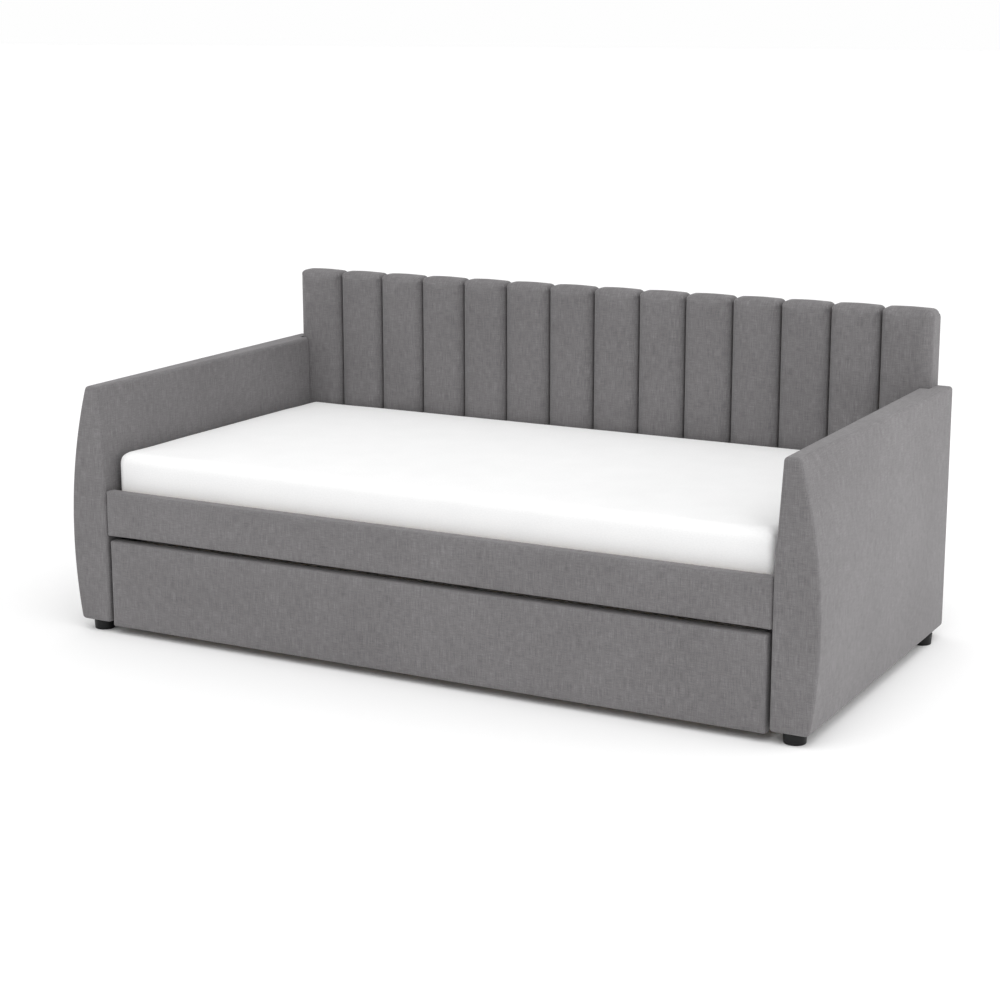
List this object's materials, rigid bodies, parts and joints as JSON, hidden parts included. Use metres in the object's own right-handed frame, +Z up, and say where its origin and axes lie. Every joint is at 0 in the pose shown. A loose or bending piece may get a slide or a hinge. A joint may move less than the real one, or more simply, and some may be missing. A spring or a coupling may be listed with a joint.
{
  "type": "trundle bed",
  "caption": "Upholstered daybed with a channelled back, bowed arms, an upper mattress and a roll-out trundle bed on casters.",
  "frame": {"origin": "on the floor, under the middle of the bed's overall box", "axes": "+X along the mattress to the right as seen from the front, -Y out of the front, +Z up"},
  "size_m": [2.1672, 1.08, 0.901],
  "materials": {
    "grey_upholstery": "matte linen-look woven polyester over foam",
    "mattress_cloth": "soft white knitted ticking",
    "black_dust_cloth": "black non-woven cloth",
    "black_plastic": "satin moulded polypropylene",
    "caster_nylon": "moulded grey-black nylon",
    "webbing": "woven polypropylene strap",
    "plywood": "raw board with cut edges",
    "zinc_steel": "zinc plated steel",
    "pine": "planed pine"
  },
  "bodies": {
    "root": {"back_board": "plywood", "back_channel_01": "grey_upholstery", "back_channel_02": "grey_upholstery", "back_channel_03": "grey_upholstery", "back_channel_04": "grey_upholstery", "back_channel_05": "grey_upholstery", "back_channel_06": "grey_upholstery", "back_channel_07": "grey_upholstery", "back_channel_08": "grey_upholstery", "back_channel_09": "grey_upholstery", "back_channel_10": "grey_upholstery", "back_channel_11": "grey_upholstery", "back_channel_12": "grey_upholstery", "back_channel_13": "grey_upholstery", "back_channel_14": "grey_upholstery", "back_posts": "pine", "back_rails": "pine", "back_rear_cover": "grey_upholstery", "bed_slat_straps": "webbing", "bed_slats": "pine", "bracket_bolts": "zinc_steel", "corner_brackets": "zinc_steel", "foot_studs": "zinc_steel", "front_ledger": "pine", "front_left_foot": "black_plastic", "front_rail_board": "plywood", "front_rail_cover": "grey_upholstery", "front_right_foot": "black_plastic", "ledger_screws": "zinc_steel", "left_arm_boards": "plywood", "left_arm_cover": "grey_upholstery", "left_arm_dust_cover": "black_dust_cloth", "left_arm_posts": "pine", "left_arm_rails": "pine", "mattress": "mattress_cloth", "rear_ledger": "pine", "rear_left_foot": "black_plastic", "rear_right_foot": "black_plastic", "right_arm_boards": "plywood", "right_arm_cover": "grey_upholstery", "right_arm_dust_cover": "black_dust_cloth", "right_arm_posts": "pine", "right_arm_rails": "pine"},
    "trundle": {"caster_axles": "zinc_steel", "caster_brackets": "zinc_steel", "caster_screws": "zinc_steel", "trundle_confirmat_screws": "zinc_steel", "trundle_corner_blocks": "pine", "trundle_front_board": "plywood", "trundle_front_cover": "grey_upholstery", "trundle_ledgers": "pine", "trundle_mattress": "mattress_cloth", "trundle_rear_board": "plywood", "trundle_sides": "plywood", "trundle_slats": "pine"},
    "front_left_wheel": {"front_left_wheel": "caster_nylon"},
    "front_right_wheel": {"front_right_wheel": "caster_nylon"},
    "rear_left_wheel": {"rear_left_wheel": "caster_nylon"},
    "rear_right_wheel": {"rear_right_wheel": "caster_nylon"}
  },
  "joints": [
    {"name": "trundle_slide", "type": "slide", "parent": "root", "child": "trundle", "axis": [0, -1, 0], "range_m": [0, 0.94]},
    {"name": "front_left_wheel_spin", "type": "hinge", "parent": "trundle", "child": "front_left_wheel", "pos_m": [-0.9, -0.46, 0.025], "axis": [1, 0, 0], "continuous": true},
    {"name": "front_right_wheel_spin", "type": "hinge", "parent": "trundle", "child": "front_right_wheel", "pos_m": [0.9, -0.46, 0.025], "axis": [1, 0, 0], "continuous": true},
    {"name": "rear_left_wheel_spin", "type": "hinge", "parent": "trundle", "child": "rear_left_wheel", "pos_m": [-0.9, 0.431, 0.025], "axis": [1, 0, 0], "continuous": true},
    {"name": "rear_right_wheel_spin", "type": "hinge", "parent": "trundle", "child": "rear_right_wheel", "pos_m": [0.9, 0.431, 0.025], "axis": [1, 0, 0], "continuous": true}
  ],
  "couplings": [
    {"joint": "front_left_wheel_spin", "follows": "trundle_slide", "rad_per_m": 40},
    {"joint": "front_right_wheel_spin", "follows": "trundle_slide", "rad_per_m": 40},
    {"joint": "rear_left_wheel_spin", "follows": "trundle_slide", "rad_per_m": 40},
    {"joint": "rear_right_wheel_spin", "follows": "trundle_slide", "rad_per_m": 40}
  ]
}
